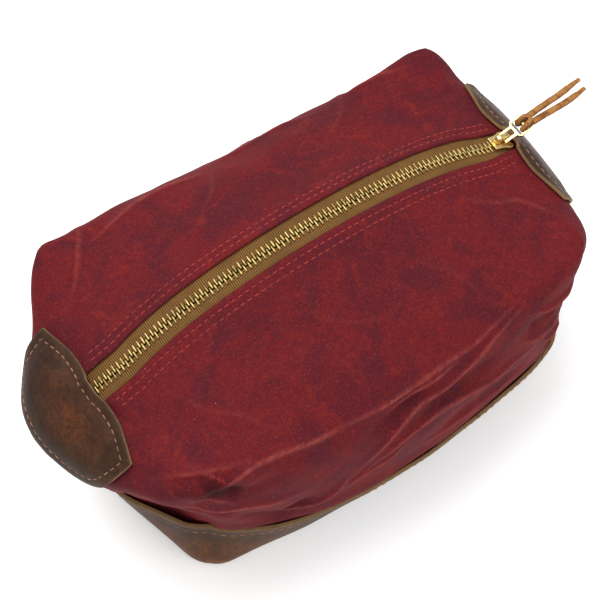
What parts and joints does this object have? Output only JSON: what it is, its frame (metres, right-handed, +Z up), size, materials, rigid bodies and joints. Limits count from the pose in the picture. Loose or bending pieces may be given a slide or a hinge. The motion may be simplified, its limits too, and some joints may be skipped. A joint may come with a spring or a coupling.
{
  "type": "shaving kit bag",
  "caption": "Soft canvas wash bag with an arched brass zip, a leather base tray, leather end patches and a leather lace on the zip puller.",
  "frame": {"origin": "on the ground, under the middle of the leather base's flat underside", "axes": "+X along the zip towards the closed slider, +Y towards the back of the bag, +Z up"},
  "size_m": [0.2868, 0.1648, 0.1309],
  "materials": {
    "waxed_canvas": "burgundy waxed cotton canvas, mottled and creased",
    "lining": "plain brown cotton lining",
    "binding": "brown cotton seam tape",
    "base_leather": "distressed brown leather with raw tan edges",
    "patch_leather": "dark distressed brown leather, burnished in the middle, with raw tan edges",
    "zip_tape": "ribbed khaki-brown cotton tape",
    "zip_brass": "antiqued brass teeth",
    "slider_brass": "polished pale brass",
    "lace_leather": "golden tan oiled leather lace"
  },
  "bodies": {
    "bag": {"leather_base": "base_leather", "canvas_floor": "lining", "canvas_front_panel": "waxed_canvas", "canvas_back_panel": "waxed_canvas", "left_end_patch": "patch_leather", "right_end_patch": "patch_leather", "left_seam_binding": "binding", "right_seam_binding": "binding", "zip_bottom_stop": "zip_brass"},
    "front_lip": {"canvas_front_lip": "waxed_canvas", "zip_tape_front": "zip_tape", "zip_teeth_front": "zip_brass", "zip_top_stop_front": "zip_brass"},
    "back_lip": {"canvas_back_lip": "waxed_canvas", "zip_tape_back": "zip_tape", "zip_teeth_back": "zip_brass", "zip_top_stop_back": "zip_brass"},
    "slider": {"zip_slider_body": "slider_brass", "zip_slider_bridge": "slider_brass"},
    "puller": {"zip_puller": "slider_brass"},
    "lace": {"lace_hitch": "lace_leather", "lace_tail_long": "lace_leather", "lace_tail_short": "lace_leather"}
  },
  "joints": [
    {"name": "slider_travel", "type": "hinge", "parent": "bag", "child": "slider", "pos_m": [0, 0, -0.13606], "axis": [0, -1, 0], "range_deg": [0, 44.5], "deforming": ["zip_tape_front", "zip_tape_back", "zip_teeth_front", "zip_teeth_back"]},
    {"name": "front_lip_open", "type": "hinge", "parent": "bag", "child": "front_lip", "pos_m": [0, -0.0567, 0.1122], "axis": [1, 0, 0], "range_deg": [0, 50]},
    {"name": "back_lip_open", "type": "hinge", "parent": "bag", "child": "back_lip", "pos_m": [0, 0.0567, 0.1122], "axis": [-1, 0, 0], "range_deg": [0, 50]},
    {"name": "puller_swing", "type": "hinge", "parent": "slider", "child": "puller", "pos_m": [0.10451, 0, 0.11182], "axis": [0, -1, 0], "range_deg": [0, 125]},
    {"name": "lace_swing", "type": "hinge", "parent": "puller", "child": "lace", "pos_m": [0.11568, 0, 0.11385], "axis": [0, -1, 0], "range_deg": [0, 30]}
  ],
  "couplings": [
    {"joint": "front_lip_open", "follows": "slider_travel", "ratio": 1.12},
    {"joint": "back_lip_open", "follows": "slider_travel", "ratio": 1.12}
  ]
}
